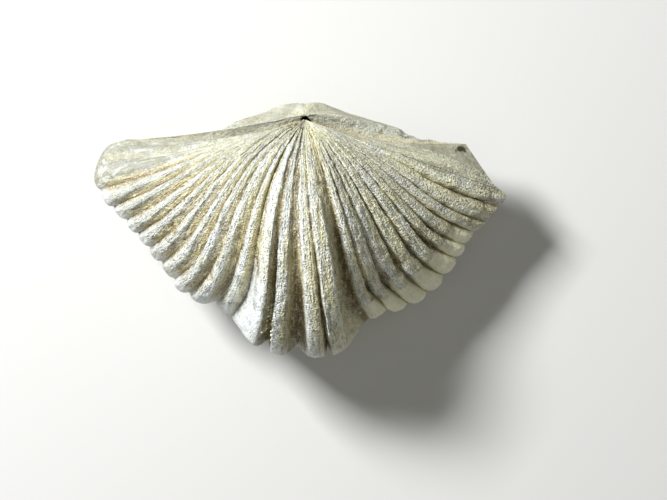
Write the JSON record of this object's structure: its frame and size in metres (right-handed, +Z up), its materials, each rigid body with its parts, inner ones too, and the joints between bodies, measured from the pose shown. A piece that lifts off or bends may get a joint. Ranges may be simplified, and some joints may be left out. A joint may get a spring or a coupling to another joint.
{
  "type": "brachiopod fossil",
  "caption": "Closed, wide-hinged fossil brachiopod shell with strong ribs fanning from the beak, a raised fold at the front and a zigzag seam between its valves.",
  "frame": {"origin": "on the surface the fossil lies on, under the middle of its outline", "axes": "+X along the hinge to the viewer's right, +Y towards the beaks, +Z up, with the brachial valve on top"},
  "size_m": [0.038, 0.0234, 0.0191],
  "materials": {
    "brachial_valve": "cream-grey calcite with a pearly glint and ochre sediment in the grooves",
    "pedicle_valve": "cream-grey calcite with ochre sediment in the grooves"
  },
  "bodies": {
    "root": {"brachial_valve": "brachial_valve", "pedicle_valve": "pedicle_valve"}
  },
  "joints": []
}
